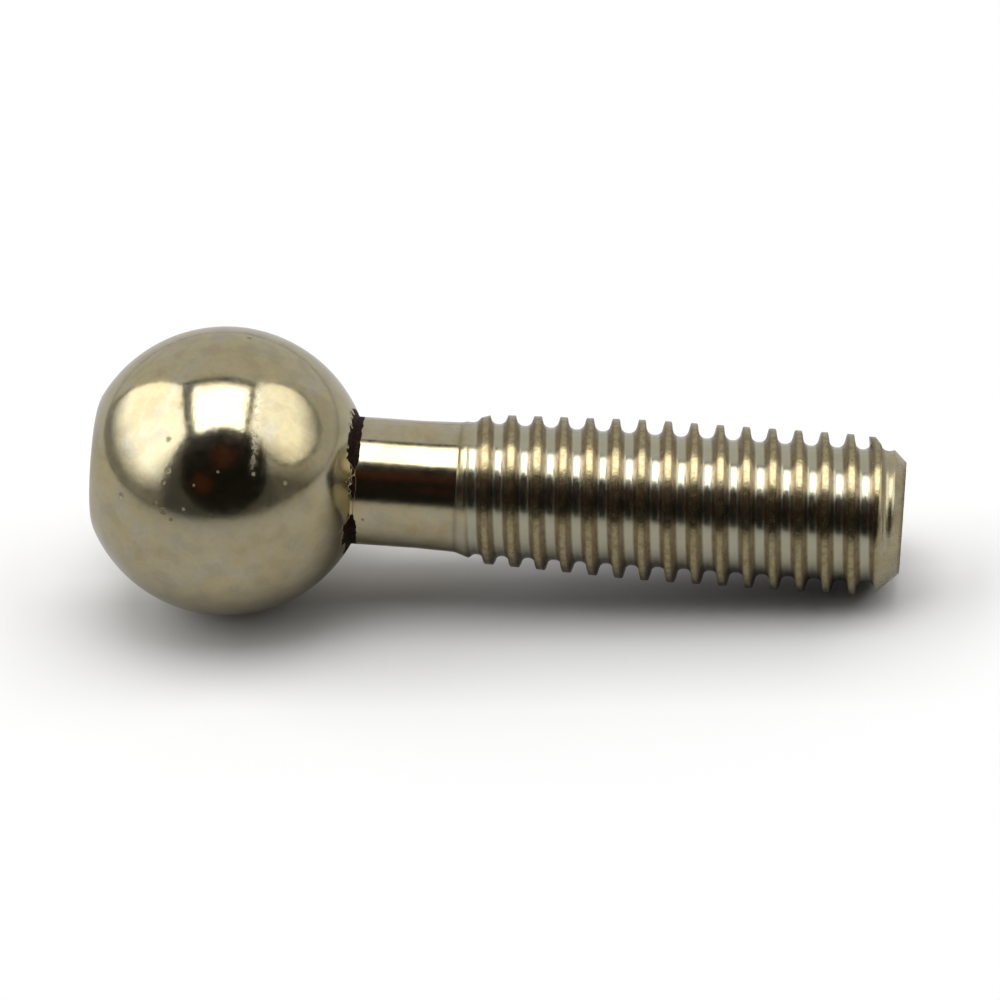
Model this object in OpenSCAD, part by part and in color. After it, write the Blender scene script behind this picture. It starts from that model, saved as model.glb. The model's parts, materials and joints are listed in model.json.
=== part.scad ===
// Ball head screw: a turned ball, a plain neck and a right-hand threaded shank, all in one piece.
// It lies as it comes to rest on a table: on its ball and on the last full turn of its thread.
// All sizes are in millimetres.

/* [Ball] */
// Diameter of the ball
ball_d = 8.9; // [7:0.1:12]
// Diameter of the flat on the end of the ball
ball_flat_d = 3.65; // [1.5:0.05:5]

/* [Neck] */
// Diameter of the plain neck
neck_d = 3.92; // [3.3:0.02:4]
// Length of the plain neck, from the ball's surface to the thread
neck_l = 3.2; // [1.6:0.1:10]

/* [Thread] */
// Outside diameter of the thread
thread_d = 4.92; // [4.8:0.02:5.6]
// Length of the threaded shank, with its point
thread_l = 13.65; // [8:0.05:22]
// Distance from one turn of the thread to the next
pitch = 0.8; // [0.72:0.01:0.96]
// Depth of the thread
thread_depth = 0.44; // [0.3:0.01:0.52]
// Width of the flat on top of each turn
crest_w = 0.2; // [0.14:0.01:0.32]
// Lean of each side of the groove, in degrees from straight down
flank_angle = 10.5; // [6:0.5:16]
// Radius of the round at the foot of each side
root_round = 0.24; // [0.1:0.01:0.25]
// Angle round the axis at which the thread begins, in degrees from the underside
thread_start = -35; // [-180:5:180]

/* [Thread run-out] */
// How much lower than the full thread its first turn is
runout_drop = 0.17; // [0.06:0.01:0.22]
// Length over which the turns rise to their full height
runout_l = 5.6; // [2:0.2:7]
// Length of the slope from the neck up to the first turn
runout_slope = 0.8; // [0.2:0.1:1.2]
// Length of the small bevel at the foot of that slope
start_bevel = 0.06; // [0.02:0.02:0.1]

/* [Point] */
// Diameter of the flat end face of the shank
tip_d = 3.4; // [2.4:0.05:4]
// Length of the chamfer round the end face
tip_chamfer = 0.8; // [0.3:0.05:1.2]

/* [Hidden] */
$fn = 96;

// Stations along the screw's own axis, which starts at the middle of the ball
ball_r = ball_d / 2;
ball_flat_r = ball_flat_d / 2;
flat_at = -sqrt(ball_r * ball_r - ball_flat_r * ball_flat_r);
neck_r = neck_d / 2;
neck_at = sqrt(ball_r * ball_r - neck_r * neck_r);
thread_at = neck_at + neck_l;
tip_at = thread_at + thread_l;
chamfer_at = tip_at - tip_chamfer;
thread_r = thread_d / 2;
root_r = thread_r - thread_depth;
tip_r = tip_d / 2;

// The cutter that leaves the thread: it plunges in over its first half turn and runs off past the tip
steps_per_turn = 30;
plunge_turns = 0.5;
cutter_over = 0.1;
plunge_l = pitch * 0.15;
groove_w = pitch - crest_w;
groove_from = thread_at - plunge_l;
groove_steps = ceil((tip_at + pitch / 2 - groove_from) / pitch * steps_per_turn);

// The round at each foot: how far it rises before the straight side begins, and the half width left flat
foot_steps = 2;
round_rise = root_round * (1 - sin(flank_angle));
round_w = groove_w / 2 - (thread_depth - round_rise) * tan(flank_angle);
floor_w = max(pitch / 100, round_w - root_round * cos(flank_angle));

// The lie on the table: the tilt at which the ball and the last full turn both touch it
first_crest_under = groove_from + pitch * (1 / 2 - thread_start / 360);
turns_under = floor((chamfer_at - crest_w / 2 - first_crest_under) / pitch);
touch_at = first_crest_under + pitch * turns_under + crest_w / 2;
touch_span = sqrt(touch_at * touch_at + thread_r * thread_r);
lie_tilt = asin(ball_r / touch_span) - atan2(thread_r, touch_at);

// How far the lying screw reaches from the middle of its ball, to each side
reach_ball_side = flat_at * cos(lie_tilt) - ball_flat_r * sin(lie_tilt);
reach_tip_side = tip_at * cos(lie_tilt) + tip_r * sin(lie_tilt);
ball_x = -(reach_ball_side + reach_tip_side) / 2;

// A point at an angle round the axis, a radius from it and a station along it
function on_shank(angle, radius, station) = [radius * cos(angle), radius * sin(angle), station];

// How far the cutter stands back from its full depth, after so many turns
function lift(turns) = (thread_depth + cutter_over) * max(0, 1 - turns / plunge_turns);

// One side of the cutter, from its top down its straight side and round its foot, as [radius, half width]
function cutter_side(up) = [
    [thread_r + cutter_over + up, groove_w / 2 + cutter_over * tan(flank_angle)],
    for (i = [foot_steps:-1:0])
        let (swing = (90 - flank_angle) * i / foot_steps)
        [root_r + root_round * (1 - cos(swing)) + up, floor_w + root_round * sin(swing)]
];

// The cutter's outline at one step along the helix: down one side and up the other
function cutter_ring(step) =
    let (
        turns = step / steps_per_turn,
        angle = thread_start + 360 * turns,
        middle = groove_from + pitch * turns,
        side = cutter_side(lift(turns)),
        last = len(side) - 1
    )
    concat(
        [for (i = [0:last]) on_shank(angle, side[i][0], middle - side[i][1])],
        [for (i = [last:-1:0]) on_shank(angle, side[i][0], middle + side[i][1])]
    );

// A closed solid through a list of rings, each with the same number of points
module skin(rings) {
    sides = len(rings[0]);
    last = len(rings) - 1;
    walls = [
        for (ring = [0:last - 1], k = [0:sides - 1])
            let (
                near = ring * sides + k,
                near_next = ring * sides + (k + 1) % sides,
                far = near + sides,
                far_next = near_next + sides
            )
            each [[near, far_next, near_next], [near, far, far_next]]
    ];
    first_end = [for (k = [0:sides - 1]) k];
    last_end = [for (k = [sides - 1:-1:0]) last * sides + k];
    polyhedron(points = [for (ring = rings) each ring], faces = concat(walls, [first_end, last_end]));
}

module ball() {
    difference() {
        sphere(d = ball_d);
        translate([-ball_r, -ball_r, flat_at - ball_d]) cube(ball_d);
    }
}

// The neck and the shank as turned, before the thread is cut
module turned_shank() {
    rotate_extrude() polygon([
        [0, 0],
        [neck_r, 0],
        [neck_r, thread_at],
        [max(neck_r, root_r), thread_at + start_bevel],
        [thread_r - runout_drop, thread_at + runout_slope],
        [thread_r, thread_at + runout_l],
        [thread_r, chamfer_at],
        [tip_r, tip_at],
        [0, tip_at]
    ]);
}

module thread_groove() {
    skin([for (step = [0:groove_steps]) cutter_ring(step)]);
}

// The whole screw on its own axis, with the middle of its ball at the origin and its tip up
module upright_screw() {
    difference() {
        union() {
            ball();
            turned_shank();
        }
        thread_groove();
    }
}

// The screw as it lies, with its tip towards +X, the table at z = 0 and its middle over the origin
module ball_head_screw() {
    color("#b3ab95")
        translate([ball_x, 0, ball_r])
            rotate([0, 90 + lie_tilt, 0])
                upright_screw();
}

ball_head_screw();
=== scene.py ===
# A turned ball head screw with a right-hand thread, lying on a pale table in a light tent.
# Lengths are in metres, except inside the screw's own shape and finish, which work in millimetres.
import json
import math

import bpy
from mathutils import Matrix, Vector


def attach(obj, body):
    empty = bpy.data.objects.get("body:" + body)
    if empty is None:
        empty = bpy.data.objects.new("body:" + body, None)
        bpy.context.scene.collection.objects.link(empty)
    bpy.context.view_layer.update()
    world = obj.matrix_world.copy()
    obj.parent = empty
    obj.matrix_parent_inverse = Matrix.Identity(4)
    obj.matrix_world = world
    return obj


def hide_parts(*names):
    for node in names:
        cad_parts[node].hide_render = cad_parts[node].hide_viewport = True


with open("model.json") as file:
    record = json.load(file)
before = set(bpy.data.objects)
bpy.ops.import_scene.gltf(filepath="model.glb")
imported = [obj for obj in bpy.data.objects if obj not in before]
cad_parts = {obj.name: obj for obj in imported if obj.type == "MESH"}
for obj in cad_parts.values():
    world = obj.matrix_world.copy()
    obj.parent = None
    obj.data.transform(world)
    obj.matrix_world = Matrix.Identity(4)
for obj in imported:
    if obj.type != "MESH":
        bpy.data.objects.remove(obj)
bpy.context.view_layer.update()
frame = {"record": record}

MM = 0.001
mounts = {mount["name"]: mount for mount in frame["record"]["mounts"]}

# How the screw lies in the frame: the middle of its ball and the direction from there to its tip
ball_centre = Vector(mounts["ball_seat"]["pos_m"])
axis = Vector(mounts["thread"]["axis"])
tilt = math.asin(-axis.z)
turned = (0, math.pi / 2 + tilt, 0)

# The screw's own sizes in millimetres, with stations counted along its axis from the middle of the ball
ball_r = mounts["ball_seat"]["dims"]["r_mm"]
flat_at = -(Vector(mounts["ball_flat"]["pos_m"]) - ball_centre).length / MM
thread_r = mounts["thread"]["dims"]["r_mm"]
thread_l = mounts["thread"]["dims"]["length_mm"]
tip_at = (Vector(mounts["tip_face"]["pos_m"]) - ball_centre).length / MM
thread_at = tip_at - thread_l
neck_r = 1.96
neck_at = math.sqrt(ball_r**2 - neck_r**2)
neck_flare = 0.04
tip_r = 1.7
chamfer_l = 0.8
chamfer_at = tip_at - chamfer_l

# The groove that leaves the thread: straight sides that lean a little, and a wide round at its foot
pitch = 0.8
thread_depth = 0.44
crest_w = 0.2
flank_angle = math.radians(10.5)
foot_round = 0.24
groove_half = (pitch - crest_w) / 2
round_rise = foot_round * (1 - math.sin(flank_angle))
round_half = groove_half - (thread_depth - round_rise) * math.tan(flank_angle)
floor_half = round_half - foot_round * math.cos(flank_angle)
root_r = thread_r - thread_depth

# Where the groove starts, and how the shank rises from the neck to the full thread
thread_start = math.radians(-35)
plunge_l = pitch * 0.15
groove_from = thread_at - plunge_l
plunge_turns = 0.5
cutter_over = 0.1
start_bevel = 0.06
runout_drop = 0.17
runout_l = 5.6
runout_slope = 0.8


# Node trees

class Number:
    """A number that flows through a node tree, so that a formula reads as plain arithmetic."""

    def __init__(self, tree, socket):
        self.tree = tree
        self.socket = socket

    def __add__(self, other):
        return calculate(self.tree, "ADD", self, other)

    def __sub__(self, other):
        return calculate(self.tree, "SUBTRACT", self, other)

    def __rsub__(self, other):
        return calculate(self.tree, "SUBTRACT", other, self)

    def __mul__(self, other):
        return calculate(self.tree, "MULTIPLY", self, other)

    def __truediv__(self, other):
        return calculate(self.tree, "DIVIDE", self, other)


def plug(tree, value, socket):
    """Feeds a node's input with a number from the tree, another socket or a plain value."""
    if isinstance(value, Number):
        tree.links.new(value.socket, socket)
    elif isinstance(value, bpy.types.NodeSocket):
        tree.links.new(value, socket)
    else:
        socket.default_value = value


def add_node(tree, kind, inputs=None, **settings):
    """A node with its settings made and its named or numbered inputs fed."""
    node = tree.nodes.new(kind)
    for name, value in settings.items():
        setattr(node, name, value)
    for name, value in (inputs or {}).items():
        plug(tree, value, node.inputs[name])
    return node


def calculate(tree, operation, *values, clamped=False):
    """One sum in the tree, of numbers and plain values."""
    node = add_node(tree, "ShaderNodeMath", operation=operation, use_clamp=clamped)
    for socket, value in zip(node.inputs, values):
        plug(tree, value, socket)
    return Number(tree, node.outputs[0])


def vectors(tree, operation, *values):
    """One sum of vectors in the tree."""
    node = add_node(tree, "ShaderNodeVectorMath", dict(enumerate(values)), operation=operation)
    return node.outputs["Value" if operation in ("DOT_PRODUCT", "DISTANCE") else "Vector"]


def least(a, b):
    return calculate(a.tree, "MINIMUM", a, b)


def most(a, b):
    return calculate(a.tree, "MAXIMUM", a, b)


def size_of(number):
    return calculate(number.tree, "ABSOLUTE", number)


def root(number):
    return calculate(number.tree, "SQRT", number)


def ramp(number, start, end):
    """Rises from 0 to 1 while the number goes from start to end."""
    return calculate(number.tree, "DIVIDE", number - start, end - start, clamped=True)


def bell(number, middle, width):
    """1 at the middle, falling to 0 over the width on either side."""
    return 1.0 - ramp(size_of(number - middle), 0.0, width)


def window(number, start, end, soft):
    """1 between start and end, with soft edges."""
    return ramp(number, start - soft, start + soft) * (1.0 - ramp(number, end - soft, end + soft))


def noise(tree, at, scale, detail=2.0, roughness=0.5):
    """Fixed noise from about 0 to 1, with so many lumps to a millimetre."""
    inputs = {"Vector": at, "Scale": scale, "Detail": detail, "Roughness": roughness}
    return Number(tree, add_node(tree, "ShaderNodeTexNoise", inputs).outputs[0])


def coordinates(tree, at):
    """The three parts of a point, as numbers."""
    split = add_node(tree, "ShaderNodeSeparateXYZ", {0: at})
    return [Number(tree, output) for output in split.outputs]


def point(tree, x, y, z):
    return add_node(tree, "ShaderNodeCombineXYZ", {"X": x, "Y": y, "Z": z}).outputs[0]


# The screw's shape: rings of points round its axis, worked out in a geometry tree

COLUMNS = 128
BALL_ROWS, NECK_ROWS, TIP_ROWS = 88, 24, 10
WELD = 0.001
SHARP_ANGLE = math.radians(42)
CREST_ROUND = 0.1
STEP_ROUND = 0.06
FLAT_EDGE_ROUND = 0.25
FLARE_FROM = 0.62
BURR_ANGLES = (124, 172)
BURR_STATIONS = (19.55, 20.15)
BURR_FROM_R = 2.22

# Rows across half of the groove, from its middle: how many, and how far out from the middle they reach
GROOVE_ROWS = ((1, floor_half), (6, round_half), (2, 0.285), (4, 0.32), (2, pitch / 2))
TURNS_BEFORE, TURNS = 1, 19


def point_grid(tree, columns, rows):
    """A flat grid with its column and row numbers, ready to be wrapped round the axis."""
    inputs = {"Size X": columns, "Size Y": rows, "Vertices X": columns + 1, "Vertices Y": rows + 1}
    grid = add_node(tree, "GeometryNodeMeshGrid", inputs)
    x, y = coordinates(tree, add_node(tree, "GeometryNodeInputPosition").outputs[0])[:2]
    return grid.outputs["Mesh"], x + columns / 2, y + rows / 2


def round_axis(tree, angle, radius, station):
    """The point at an angle round the screw, a radius from its axis and a station along it."""
    across = radius * calculate(tree, "COSINE", angle)
    along = radius * calculate(tree, "SINE", angle)
    return point(tree, across, along, station)


def move_to(tree, mesh, place):
    return add_node(tree, "GeometryNodeSetPosition", {"Geometry": mesh, "Position": place}).outputs[0]


def turned_skin(tree, rows, profile):
    """A skin of whole rings, whose radius and station follow from the row's share of the way."""
    mesh, column, row = point_grid(tree, COLUMNS, rows)
    radius, station = profile(row / rows)
    angle = column * (2 * math.pi / COLUMNS) + thread_start
    return move_to(tree, mesh, round_axis(tree, angle, radius, station))


def ball_skin(tree, size):
    """The ball from the middle of its flat to the neck, with the flat's edge a little rounded."""
    last_angle = math.pi - math.asin(neck_r / ball_r)

    def profile(share):
        angle = share * last_angle
        to_flat = size["Flat distance"] / most(calculate(tree, "COSINE", angle), 0.05)
        reach = calculate(tree, "SMOOTH_MIN", size["Ball radius"], to_flat, FLAT_EDGE_ROUND)
        radius = reach * calculate(tree, "SINE", angle)
        return radius, reach * calculate(tree, "COSINE", angle) * -1.0

    return turned_skin(tree, BALL_ROWS, profile)


def neck_skin(tree, size):
    """The plain neck, which flares a little before the first turn of the thread."""
    length = thread_at - neck_at

    def profile(share):
        flare = ramp(share, FLARE_FROM, 1.0) * neck_flare
        return size["Neck radius"] + flare, share * length + neck_at

    return turned_skin(tree, NECK_ROWS, profile)


def tip_skin(tree, size):
    """The flat end face, from its edge to its middle."""
    def profile(share):
        return size["Tip radius"] * (1.0 - share), size["Tip station"]

    return turned_skin(tree, TIP_ROWS, profile)


def slope(at, start, low, length, high):
    """A straight line along the axis, from the low value at its start to the high one."""
    return (at - start) * ((high - low) / length) + low


def blank_radius(tree, size, station):
    """The shank before its thread is cut: a bevel, a slope, a slow rise, the full size and the chamfer."""
    past = station - thread_at
    low_r = thread_r - runout_drop
    bevel = slope(past, 0, neck_r + neck_flare, start_bevel, root_r)
    step = slope(past, start_bevel, root_r, runout_slope - start_bevel, low_r)
    rise = slope(past, runout_slope, low_r, runout_l - runout_slope, thread_r)
    chamfer = slope(station, chamfer_at, thread_r, chamfer_l, tip_r)
    radius = least(rise, size["Thread radius"])
    radius = calculate(tree, "SMOOTH_MIN", radius, chamfer, STEP_ROUND)
    radius = calculate(tree, "SMOOTH_MIN", radius, step, STEP_ROUND)
    return least(radius, bevel)


def groove_rise(tree, away):
    """How far the groove's side stands above its floor, at a distance from the groove's middle."""
    inside = least(most(away - floor_half, 0.0), round_half - floor_half)
    rounded = foot_round - root(foot_round**2 - inside * inside)
    return rounded + most(away - round_half, 0.0) * (1 / math.tan(flank_angle))


def thread_skin(tree, size):
    """The thread: a grid laid along the helix, with its rows gathered where the groove's walls are."""
    half_rows = sum(rows for rows, reach in GROOVE_ROWS)
    mesh, column, row = point_grid(tree, COLUMNS * TURNS, 2 * half_rows)
    along = column / COLUMNS - TURNS_BEFORE
    angle = along * (2 * math.pi) + thread_start
    middle = along * size["Pitch"] + groove_from

    # The row's distance from the middle of the groove, counted stretch by stretch
    steps_out = size_of(row - half_rows)
    out, begun, begun_at = 0.0, 0, 0.0
    for rows, reach in GROOVE_ROWS:
        out = ramp(steps_out, begun, begun + rows) * (reach - begun_at) + out
        begun, begun_at = begun + rows, reach
    station = middle + calculate(tree, "SIGN", row - half_rows) * out
    station = least(most(station, thread_at), size["Tip station"])

    # The groove is plunged in over its first half turn, and its edges wander a little
    on_crest = round_axis(tree, angle, size["Thread radius"], station)
    wander = (noise(tree, on_crest, 3.0, detail=3.0) - 0.5) * size["Uneven edges"]
    lift = most(1.0 - along / plunge_turns, 0.0) * (thread_depth + cutter_over)
    floor = size["Thread radius"] - thread_depth + lift
    groove = floor + groove_rise(tree, size_of(station - middle) + wander)
    radius = calculate(tree, "SMOOTH_MIN", groove, blank_radius(tree, size, station), CREST_ROUND)
    return move_to(tree, mesh, round_axis(tree, angle, radius, station))


def degrees_round(tree, x, y):
    """The angle round the axis, from 0 at the underside through 90 behind and 180 on top to 360."""
    turn = calculate(tree, "ARCTAN2", y * -1.0, x * -1.0) + math.pi
    return turn * (180 / math.pi)


def wear(tree, size, mesh):
    """Makes the crests a little uneven, and folds a burr over the last full turn, on its upper side."""
    here = add_node(tree, "GeometryNodeInputPosition").outputs[0]
    x, y, station = coordinates(tree, here)
    radius = root(x * x + y * y)
    angle = degrees_round(tree, x, y)
    on_crest = ramp(radius, root_r + 0.12, root_r + 0.3) * ramp(station, thread_at + 0.1, thread_at + 0.3)
    dents = (noise(tree, here, 1.6, detail=3.0) - 0.5) * size["Crest wear"]
    folded = window(angle, *BURR_ANGLES, 14) * window(station, *BURR_STATIONS, 0.05)
    fold = folded * ramp(radius, BURR_FROM_R, thread_r) * size["Burr"]
    grow = (on_crest * dents - fold * 0.25) / most(radius, 0.1) + 1.0
    return move_to(tree, mesh, point(tree, x * grow, y * grow, station - fold))


def screw_tree(finish):
    """The whole screw: four skins welded into one, worn a little, and laid in the frame."""
    tree = bpy.data.node_groups.new("ball_head_screw_shape", "GeometryNodeTree")
    tree.interface.new_socket(name="Geometry", in_out="OUTPUT", socket_type="NodeSocketGeometry")
    sizes = {
        "Ball radius": ball_r,
        "Flat distance": -flat_at,
        "Neck radius": neck_r,
        "Thread radius": thread_r,
        "Pitch": pitch,
        "Tip station": tip_at,
        "Tip radius": tip_r,
        "Crest wear": 0.03,
        "Uneven edges": 0.05,
        "Burr": 0.13,
    }
    for name in sizes:
        tree.interface.new_socket(name=name, in_out="INPUT", socket_type="NodeSocketFloat")
    entry = add_node(tree, "NodeGroupInput")
    size = {name: Number(tree, entry.outputs[name]) for name in sizes}

    join = add_node(tree, "GeometryNodeJoinGeometry")
    for skin in (ball_skin, neck_skin, thread_skin, tip_skin):
        tree.links.new(skin(tree, size), join.inputs[0])
    weld = add_node(tree, "GeometryNodeMergeByDistance", {"Geometry": join.outputs[0], "Distance": WELD})
    worn = wear(tree, size, weld.outputs[0])
    inputs = {"Geometry": worn, "Translation": ball_centre, "Rotation": turned, "Scale": (MM, MM, MM)}
    laid = add_node(tree, "GeometryNodeTransform", inputs)
    real = add_node(tree, "GeometryNodeRealizeInstances", {"Geometry": laid.outputs[0]})
    painted = add_node(tree, "GeometryNodeSetMaterial", {"Geometry": real.outputs[0], "Material": finish})
    tree.links.new(painted.outputs[0], add_node(tree, "NodeGroupOutput").inputs[0])
    return tree, sizes


def make_screw(finish):
    """Works the tree out and keeps the result as one plain mesh."""
    screw = bpy.data.objects.new("plated_screw", bpy.data.meshes.new("plated_screw"))
    bpy.context.scene.collection.objects.link(screw)
    tree, sizes = screw_tree(finish)
    shape = screw.modifiers.new("shape", "NODES")
    shape.node_group = tree
    for item in tree.interface.items_tree:
        if item.in_out == "INPUT":
            shape[item.identifier] = sizes[item.name]
    evaluated = screw.evaluated_get(bpy.context.evaluated_depsgraph_get())
    mesh = bpy.data.meshes.new_from_object(evaluated)
    screw.modifiers.remove(shape)
    screw.data = mesh
    mesh.shade_smooth()
    mesh.set_sharp_from_angle(angle=SHARP_ANGLE)
    return screw


# The finish: nickel plate with a warm tint, tarnished in the thread and marked on the ball, with painted
# shade on the thread's underside and lower flanks

NICKEL = (0.53, 0.478, 0.325, 1)
WARM_NICKEL = (0.51, 0.435, 0.245, 1)
CREST_NICKEL = (0.475, 0.415, 0.225, 1)
GREY_NICKEL = (0.50, 0.475, 0.39, 1)
GREEN_NICKEL = (0.48, 0.485, 0.385, 1)
PALE_NICKEL = (0.72, 0.68, 0.52, 1)
# Brown tarnish, also laid on the thread's underside and lower flanks as painted shade
TARNISH_AND_SHADE = (0.14, 0.095, 0.048, 1)
RUST = (0.009, 0.003, 0.0015, 1)
RED_RUST = (0.04, 0.009, 0.004, 1)
PIT = (0.05, 0.04, 0.03, 1)

# Millimetres from the groove's middle to where its foot ends, its flank lies and the crest begins
FOOT_ENDS = (0.12, 0.2)
FLANK_LIES = (0.14, 0.325)
CREST_BEGINS = (0.28, 0.35)

# The thread's lit side, outside which its underside gets painted shade, and the bright ring on the ball,
# from one angle in degrees to another
LIT_ANGLES = (30, 318)
BRIGHT_RING_ANGLES = (196, 235)
BRIGHT_RING_AT = 1.14

# Stretches of the rust ring: where each starts and ends in degrees, its soft ends, and how far it reaches
RUST_STRETCHES = ((148, 222, 4, 0.27), (231, 251, 4, 0.12), (271, 326, 6, 0.3), (20, 120, 20, 0.12))

# Pits and scuffs that can be seen on the ball and the neck: station, angle in degrees, and radius
PITS = (
    (0.56, 166, 0.10), (-1.47, 223, 0.11), (-1.42, 236, 0.10), (-1.53, 241, 0.07), (2.13, 238, 0.12),
    (-2.87, 251, 0.12), (-1.51, 253, 0.11), (-1.25, 256, 0.08), (-1.74, 250, 0.07), (4.4, 272, 0.06),
)
PALE_SPECKS = (
    (0.11, 235, 0.06), (-0.59, 241, 0.06), (2.13, 238, 0.06), (-0.45, 217, 0.06), (0.75, 218, 0.06),
    (-0.87, 251, 0.07), (-2.87, 252, 0.07), (1.19, 235, 0.07),
)


def on_screw(tree):
    """The point being painted, in millimetres in the screw's own upright frame."""
    inputs = {
        "Vector": add_node(tree, "ShaderNodeTexCoord").outputs["Object"],
        "Location": ball_centre,
        "Rotation": turned,
        "Scale": (MM, MM, MM),
    }
    return add_node(tree, "ShaderNodeMapping", inputs, vector_type="TEXTURE").outputs[0]


def new_finish(name):
    """A material with an empty node tree."""
    finish = bpy.data.materials.new(name)
    finish.use_nodes = True
    finish.node_tree.nodes.clear()
    return finish, finish.node_tree


def paint_over(tree, mask, under, over):
    """One colour over another, as far as the mask goes."""
    mix = add_node(tree, "ShaderNodeMix", data_type="RGBA")
    colours = [socket for socket in mix.inputs if socket.type == "RGBA"]
    plug(tree, mask, mix.inputs[0])
    plug(tree, under, colours[0])
    plug(tree, over, colours[1])
    return next(socket for socket in mix.outputs if socket.type == "RGBA")


def surface_point(station, angle):
    """The place on the ball or the neck at a station and an angle in degrees."""
    radius = math.sqrt(ball_r**2 - station**2) if station < neck_at else neck_r
    return (radius * math.cos(math.radians(angle)), radius * math.sin(math.radians(angle)), station)


def marks(tree, at, places):
    """Round marks with ragged rims: 1 in their middles, 0 outside them."""
    nearest = None
    for station, angle, radius in places:
        away = Number(tree, vectors(tree, "DISTANCE", at, surface_point(station, angle))) / radius
        nearest = away if nearest is None else least(nearest, away)
    ragged = noise(tree, at, 9.0) - 0.5
    return 1.0 - ramp(nearest + ragged, 0.35, 1.1)


def rust_ring(tree, at, station, angle):
    """A jagged ring of rust at the foot of the neck, wide above, broken in front and wide again below."""
    width = 0.0
    for start, end, soft, reach in RUST_STRETCHES:
        width = window(angle, start, end, soft) * reach + width
    jagged = (noise(tree, at, 4.5, detail=3.0, roughness=0.6) - 0.5) * 0.45
    before = neck_at + 0.1 - station
    away = most(before, before * -3.2)
    return ramp(width + jagged * ramp(width, 0.0, 0.1) - away, -0.015, 0.03)


def eased_normal(tree, share):
    """The surface's direction, turned a share of the way towards straight out, as worn turns shine."""
    place = add_node(tree, "ShaderNodeTexCoord")
    reach = vectors(tree, "SUBTRACT", place.outputs["Object"], ball_centre)
    along = vectors(tree, "DOT_PRODUCT", reach, axis)
    on_axis = vectors(tree, "MULTIPLY", point(tree, along, along, along), axis)
    out = vectors(tree, "NORMALIZE", vectors(tree, "SUBTRACT", reach, on_axis))
    mix = add_node(tree, "ShaderNodeMix", data_type="VECTOR")
    surface_side, outward_side = [socket for socket in mix.inputs if socket.type == "VECTOR"][-2:]
    plug(tree, share, mix.inputs[0])
    plug(tree, place.outputs["Normal"], surface_side)
    plug(tree, out, outward_side)
    eased = next(socket for socket in mix.outputs if socket.type == "VECTOR")
    return vectors(tree, "NORMALIZE", eased)


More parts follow.
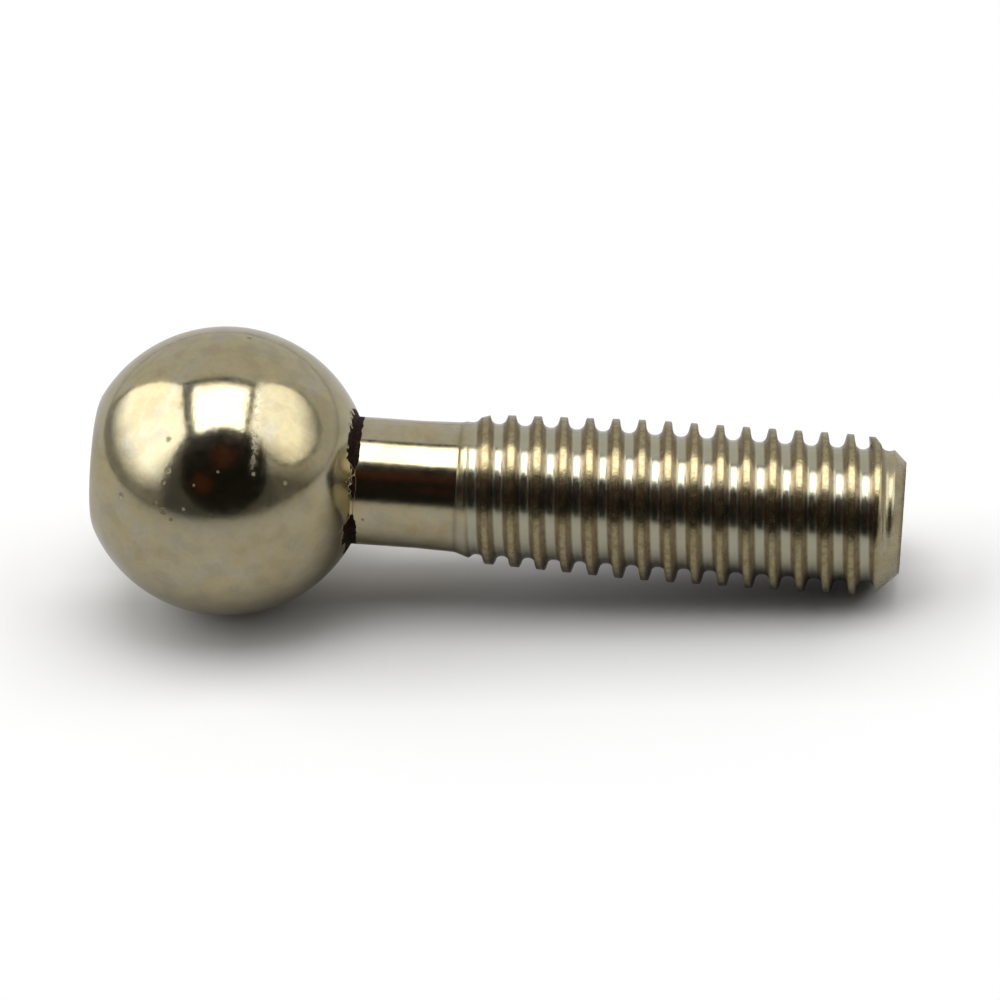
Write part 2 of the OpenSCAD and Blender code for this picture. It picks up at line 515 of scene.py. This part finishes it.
def plated_finish():
    """The plate: mottled and finely turned, brown in the thread with painted shade on its underside and
    lower flanks, pitted on the ball, rusted at the neck.
    """
    finish, tree = new_finish("warm_nickel_plate")
    at = on_screw(tree)
    x, y, station = coordinates(tree, at)
    angle = degrees_round(tree, x, y)

    # Where the point lies on the thread, as a distance from the middle of the groove
    turn = (station - groove_from) / pitch - (angle - math.degrees(thread_start)) / 360
    share = calculate(tree, "FRACT", turn)
    away = (0.5 - size_of(share - 0.5)) * pitch
    on_thread = window(station, thread_at, chamfer_at + 0.1, 0.1)
    on_turns = ramp(station, thread_at + 0.3, thread_at + 0.5) * on_thread
    # Painted shade: the thread's lower side, from about 262 degrees round to the underside
    below = ramp(angle, 262, 282)
    crest = ramp(away, *CREST_BEGINS) * on_turns
    flank = window(away, *FLANK_LIES, 0.035) * on_turns
    foot = (1.0 - ramp(away, *FOOT_ENDS)) * on_turns
    chamfer = ramp(station, chamfer_at, chamfer_at + 0.1)
    tip_line = bell(station, tip_at, 0.12)
    # Painted shade: the thread's underside, outside its lit side, is darkened as if shadowed
    underside = on_turns * (1.0 - window(angle, *LIT_ANGLES, 14))
    first_line = bell(station, thread_at + 0.02, 0.12)

    clouds = ramp(noise(tree, at, 0.55, detail=3.0), 0.38, 0.62)
    grey_clouds = ramp(noise(tree, at, 0.9, detail=3.0, roughness=0.6), 0.5, 0.7)
    mottle = ramp(noise(tree, at, 3.4, detail=3.0, roughness=0.65), 0.3, 0.7)
    stains = ramp(noise(tree, at, 1.7, detail=2.0, roughness=0.6), 0.5, 0.62)
    turned_at = point(tree, x * 0.25, y * 0.25, station * 5.0)
    turning = noise(tree, turned_at, 2.0, detail=2.0, roughness=0.7)
    dirt = ramp(noise(tree, at, 5.0, detail=3.0, roughness=0.7), 0.45, 0.62)
    pits = marks(tree, at, PITS)
    specks = marks(tree, at, PALE_SPECKS)
    rust = rust_ring(tree, at, station, angle)
    bright_ring = bell(station, BRIGHT_RING_AT, 0.17) * window(angle, *BRIGHT_RING_ANGLES, 4)
    bright_ring = bright_ring * ramp(noise(tree, at, 8.0, detail=2.0), 0.3, 0.6)

    colour = paint_over(tree, clouds * 0.65 + mottle * 0.3, NICKEL, WARM_NICKEL)
    colour = paint_over(tree, grey_clouds * 0.7, colour, GREY_NICKEL)
    colour = paint_over(tree, (1.0 - mottle) * (chamfer * 0.15 + 0.2) + stains * 0.16, colour, TARNISH_AND_SHADE)
    colour = paint_over(tree, foot * 0.6, colour, GREEN_NICKEL)
    colour = paint_over(tree, crest * 0.85, colour, CREST_NICKEL)
    colour = paint_over(tree, crest * (dirt * 0.35 + 0.24), colour, TARNISH_AND_SHADE)
    # Flanks tarnished in their hollows, and darker on the lower side as painted shade
    colour = paint_over(tree, flank * (dirt * 0.15 + below * 0.1 + 0.72), colour, TARNISH_AND_SHADE)
    # Painted shade darkens the thread's underside
    colour = paint_over(tree, underside * 0.6, colour, TARNISH_AND_SHADE)
    colour = paint_over(tree, tip_line * 0.75, colour, TARNISH_AND_SHADE)
    colour = paint_over(tree, first_line * 0.35, colour, TARNISH_AND_SHADE)
    colour = paint_over(tree, bright_ring * 0.6, colour, PALE_NICKEL)
    colour = paint_over(tree, pits * 0.5, colour, PIT)
    colour = paint_over(tree, specks * 0.5, colour, PALE_NICKEL)
    rust_colour = paint_over(tree, ramp(noise(tree, at, 5.5), 0.56, 0.72), RUST, RED_RUST)
    colour = paint_over(tree, rust, colour, rust_colour)

    rough = mottle * 0.06 + 0.11 + on_thread * 0.06 + crest * 0.05 + flank * 0.05 + chamfer * 0.14
    rough = rough + bright_ring * 0.25 + specks * 0.3 + pits * 0.3 + rust * 0.5
    height = (
        noise(tree, at, 2.2) * 0.0035
        + turning * 0.0006
        + noise(tree, at, 6.0) * crest * 0.006
        + noise(tree, at, 10.0) * rust * 0.05
        + bright_ring * 0.002
        - pits * 0.002
    )
    inputs = {"Height": height * MM, "Strength": 1.0, "Distance": 1.0}
    inputs["Normal"] = eased_normal(tree, on_thread * (flank * 0.4 + crest * 0.5 + 0.4))
    bump = add_node(tree, "ShaderNodeBump", inputs)
    inputs = {
        "Base Color": colour,
        "Metallic": 1.0 - rust * 0.9,
        "Roughness": rough,
        "Specular IOR Level": 0.1,
        "Normal": bump.outputs[0],
    }
    shader = add_node(tree, "ShaderNodeBsdfPrincipled", inputs)
    add_node(tree, "ShaderNodeOutputMaterial", {"Surface": shader.outputs[0]})
    return finish


# The light tent: a bright window in either wall and in the roof, dim walls, and a dark hole round the camera

TENT_H = 0.6
TENT_TURN = math.radians(2.05)
ROOF_WINDOW = 4.0
LEFT_WINDOW = 2.35
RIGHT_WINDOW = 1.95
FRAME_LIGHT = 0.25
BACK_LIGHT = 0.66
LEFT_LIGHT = 0.32
RIGHT_LIGHT = 0.56
FRONT_LIGHT = 0.09
FRAME_W = 0.03

# Shares of the tent's height: how far away the walls and the windows stand, and how high the walls reach
WALL_AWAY = 0.48
WINDOW_AWAY = 0.45
WALL_TOP = 1.02


def in_tent(corner):
    """A place in the tent, from its share of the tent's height to each side of the ball's middle."""
    return Matrix.Rotation(TENT_TURN, 3, "Z") @ Vector(corner) * TENT_H + ball_centre


def flat_sheet(name, outline, finish):
    """A flat sheet through the outline's points, part of the stage."""
    mesh = bpy.data.meshes.new(name)
    mesh.from_pydata(outline, [], [list(range(len(outline)))])
    mesh.materials.append(finish)
    sheet = bpy.data.objects.new(name, mesh)
    bpy.context.scene.collection.objects.link(sheet)
    return sheet


def tent_sheet(name, outline, brightness, *fades):
    """A flat sheet of the tent. A fade names a way, where along it the light is lowest and where it is
    full, and the lowest share."""
    finish, tree = new_finish(name)
    inputs = {
        "Vector": add_node(tree, "ShaderNodeTexCoord").outputs["Object"],
        "Location": ball_centre,
        "Rotation": (0, 0, TENT_TURN),
        "Scale": (TENT_H, TENT_H, TENT_H),
    }
    at = add_node(tree, "ShaderNodeMapping", inputs, vector_type="TEXTURE").outputs[0]
    for way, lowest_at, full_at, lowest in fades:
        share = ramp(Number(tree, vectors(tree, "DOT_PRODUCT", at, way)), lowest_at, full_at)
        brightness = (share * (1.0 - lowest) + lowest) * brightness
    shine = add_node(tree, "ShaderNodeEmission", {"Color": (1.0, 1.0, 1.0, 1.0), "Strength": brightness})
    add_node(tree, "ShaderNodeOutputMaterial", {"Surface": shine.outputs[0]})
    sheet = flat_sheet(name, [in_tent(corner) for corner in outline], finish)
    sheet.visible_camera = False


def lit_window(name, outline, brightness, set_back, *fades):
    """A bright sheet in a dim frame a little wider than itself, which stands behind it."""
    corners = [Vector(corner) for corner in outline]
    middle = sum(corners, Vector((0, 0, 0))) / len(corners)
    frame_corners = [c + (c - middle).normalized() * FRAME_W + Vector(set_back) for c in corners]
    tent_sheet(name + "_frame", frame_corners, FRAME_LIGHT)
    tent_sheet(name, corners, brightness, *fades)


def light_tent():
    """The two side windows and the roof window in their frames, and the four dim walls."""
    left = (
        (0.40, 0.95), (0.42, 0.50), (0.42, 0.20), (0.39, 0.10), (0.33, 0.06), (0.11, 0.05), (-0.10, 0.04),
        (-0.28, 0.05), (-0.36, 0.09), (-0.40, 0.30), (-0.40, 0.70), (-0.38, 0.95),
    )
    right = (
        (0.42, 0.97), (0.42, 0.60), (0.36, 0.38), (0.31, 0.28), (0.24, 0.20), (0.16, 0.15), (0.05, 0.12),
        (-0.08, 0.13), (-0.18, 0.17), (-0.27, 0.25), (-0.33, 0.34), (-0.34, 0.50), (-0.31, 0.62),
        (-0.34, 0.80), (-0.36, 0.97),
    )
    roof = ((-0.32, -0.42), (0.37, -0.42), (0.37, 0.34), (-0.32, 0.34))
    lit_window(
        "left_window", [(-WINDOW_AWAY, y, z) for y, z in left], LEFT_WINDOW, (-0.01, 0, 0),
        ((0, 0, 1), 0.05, 0.2, 0.12), ((0, 1, 0.35), -0.35, -0.12, 0.15),
    )
    lit_window(
        "right_window", [(WINDOW_AWAY, y, z) for y, z in right], RIGHT_WINDOW, (0.01, 0, 0),
        ((0, -0.45, 1), 0.05, 0.26, 0.1), ((0, 1, 0.35), -0.25, -0.04, 0.1),
    )
    roof_fade = ((0, -1, 0), -0.38, -0.24, 0.1)
    lit_window("roof_window", [(x, y, 1.0) for x, y in roof], ROOF_WINDOW, (0, 0, 0.01), roof_fade)
    near_left, near_right = (-WALL_AWAY, -WALL_AWAY), (WALL_AWAY, -WALL_AWAY)
    far_left, far_right = (-WALL_AWAY, WALL_AWAY), (WALL_AWAY, WALL_AWAY)
    walls = (
        ("left_wall", near_left, far_left, LEFT_LIGHT, ((0, 1, 0), -0.45, -0.3, 0.5)),
        ("right_wall", near_right, far_right, RIGHT_LIGHT, ((0, 0.8, 1), -0.13, 0.03, 0.25)),
        ("back_wall", far_left, far_right, BACK_LIGHT),
        ("front_wall", near_left, near_right, FRONT_LIGHT),
    )
    for name, start, end, brightness, *fades in walls:
        outline = [(*start, 0), (*end, 0), (*end, WALL_TOP), (*start, WALL_TOP)]
        tent_sheet(name, outline, brightness, *fades)


# The table: its paleness to the camera and in the metal, painted shade towards the front, and a painted
# shadow by the screw
TABLE_SEEN = 0.8
TABLE_LIT = 0.49
TABLE_FRONT_SHADE_SHARE = 0.45
TABLE_PAINTED_SHADOW = 0.24
TABLE_REACH = 0.5 * TENT_H

# Half the screw's length, where the painted shadow strip in front of it deepens and fades, and where the
# white begins
HALF_LENGTH = 0.0125
STRIP_DEEPENS = (-0.0006, 0.0008)
STRIP_FADES = (0.0015, 0.0065)
STRIP_SOFT = 0.003
TURNS_WHITE = (0.007, 0.013)


def make_table():
    """The pale table: a painted shadow in front of the screw, less pale in the metal with painted shade to
    the front, and white to the camera far off.
    """
    finish, tree = new_finish("pale_table")
    finish.cycles.emission_sampling = "NONE"
    seen = Number(tree, add_node(tree, "ShaderNodeLightPath").outputs["Is Camera Ray"])
    x, y = coordinates(tree, add_node(tree, "ShaderNodeTexCoord").outputs["Object"])[:2]
    in_front = y * -1.0
    # Painted shade: the table's colour in the metal and in bounced light darkens towards the camera's side
    lit = (ramp(y, -0.1, 0.0) * (1.0 - TABLE_FRONT_SHADE_SHARE) + TABLE_FRONT_SHADE_SHARE) * TABLE_LIT
    # Painted shadow: a darker strip of the camera's table colour just in front of the screw
    painted_shadow = window(x, -HALF_LENGTH, HALF_LENGTH, STRIP_SOFT) * ramp(in_front, *STRIP_DEEPENS)
    painted_shadow = painted_shadow * (1.0 - ramp(in_front, *STRIP_FADES))
    shade = seen * (TABLE_SEEN - painted_shadow * TABLE_PAINTED_SHADOW) + (1.0 - seen) * lit
    past_end = most(size_of(x) - HALF_LENGTH, 0.0)
    far = ramp(root(past_end * past_end + y * y), *TURNS_WHITE)
    matt = add_node(tree, "ShaderNodeBsdfDiffuse", {"Color": point(tree, shade, shade, shade)})
    white = add_node(tree, "ShaderNodeEmission", {"Color": (1.0, 1.0, 1.0, 1.0), "Strength": 1.0})
    mix = add_node(tree, "ShaderNodeMixShader", {0: seen * far, 1: matt.outputs[0], 2: white.outputs[0]})
    add_node(tree, "ShaderNodeOutputMaterial", {"Surface": mix.outputs[0]})
    signs = ((-1, -1), (1, -1), (1, 1), (-1, 1))
    corners = [(x_sign * TABLE_REACH, y_sign * TABLE_REACH, 0) for x_sign, y_sign in signs]
    flat_sheet("pale_table", corners, finish)


def make_surroundings():
    """A white background for the camera, and near darkness for everything else."""
    world = bpy.data.worlds.new("surroundings")
    bpy.context.scene.world = world
    world.use_nodes = True
    tree = world.node_tree
    seen = Number(tree, add_node(tree, "ShaderNodeLightPath").outputs["Is Camera Ray"])
    plug(tree, (1.0, 1.0, 1.0, 1.0), tree.nodes["Background"].inputs["Color"])
    plug(tree, seen * 0.95 + 0.05, tree.nodes["Background"].inputs["Strength"])


# The camera, placed so that the ball's middle and the screw's axis fall where the photograph has them

IMAGE_SIDE = 1000
SENSOR_W = 36
BALL_PX = (226.07, 471.03)
AXIS_SLOPE_PX = math.radians(-3.97)
PX_PER_METRE = 32500
BALL_DEPTH = 0.245
CAMERA_TURN = math.radians(-7.4)
CAMERA_DROP = math.radians(35)
HOLE_HALF_ANGLE = math.radians(35)
HOLE_AWAY = 0.33
HOLE_SIDES = 64
DARK = (0.011, 0.010, 0.009, 1)
REDDISH = (0.06, 0.019, 0.011, 1)

# Reddish patches in the dark opening: how far across, how far above its middle, and their reach
REDDISH_PATCHES = ((0.0, 0.07, 0.07), (-0.1, -0.06, 0.06))


def make_camera():
    """The camera, and the three ways it faces: forward, to its right and up."""
    forward = Vector((
        math.sin(CAMERA_TURN) * math.cos(CAMERA_DROP),
        math.cos(CAMERA_TURN) * math.cos(CAMERA_DROP),
        -math.sin(CAMERA_DROP),
    ))
    level_right = forward.cross(Vector((0, 0, 1))).normalized()
    level_up = level_right.cross(forward)
    roll = math.atan2(axis.dot(level_up), axis.dot(level_right)) - AXIS_SLOPE_PX
    right = level_right * math.cos(roll) + level_up * math.sin(roll)
    up = right.cross(forward)
    across = (BALL_PX[0] - IMAGE_SIDE / 2) / PX_PER_METRE
    above = (IMAGE_SIDE / 2 - BALL_PX[1]) / PX_PER_METRE
    data = bpy.data.cameras.new("camera")
    data.sensor_width = SENSOR_W
    data.lens = PX_PER_METRE * BALL_DEPTH * SENSOR_W / IMAGE_SIDE
    data.clip_start = 0.01
    camera = bpy.data.objects.new("camera", data)
    stand = ball_centre - forward * BALL_DEPTH - right * across - up * above
    turn = Matrix((right, up, -forward)).transposed()
    camera.matrix_world = Matrix.Translation(stand) @ turn.to_4x4()
    bpy.context.scene.collection.objects.link(camera)
    bpy.context.scene.camera = camera
    return forward, right, up


def camera_hole(forward, right, up):
    """The dark round opening in the tent's front, with a little reddish light in it."""
    finish, tree = new_finish("dark_opening")
    away = HOLE_AWAY * TENT_H
    radius = away * math.tan(HOLE_HALF_ANGLE)
    middle = ball_centre - forward * away

    at = add_node(tree, "ShaderNodeTexCoord").outputs["Object"]
    ragged = (noise(tree, at, 60.0, detail=3.0) - 0.5) * 0.8
    reddish = None
    for across, above, reach in REDDISH_PATCHES:
        spot = middle + (right * across + up * above) * TENT_H
        apart = Number(tree, vectors(tree, "DISTANCE", at, spot)) / (reach * TENT_H)
        patch = 1.0 - ramp(apart + ragged, 0.4, 1.1)
        reddish = patch if reddish is None else most(reddish, patch)
    colour = paint_over(tree, reddish, DARK, REDDISH)
    shine = add_node(tree, "ShaderNodeEmission", {"Color": colour, "Strength": 1.0})
    add_node(tree, "ShaderNodeOutputMaterial", {"Surface": shine.outputs[0]})
    points = [
        middle + (right * math.cos(turn) + up * math.sin(turn)) * radius
        for turn in (2 * math.pi * step / HOLE_SIDES for step in range(HOLE_SIDES))
    ]
    hole = flat_sheet("camera_hole", points, finish)
    hole.visible_camera = False


bpy.context.scene.view_settings.view_transform = "Standard"
screw = make_screw(plated_finish())
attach(screw, "root")
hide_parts("ball_head_screw")
make_table()
make_surroundings()
light_tent()
camera_hole(*make_camera())
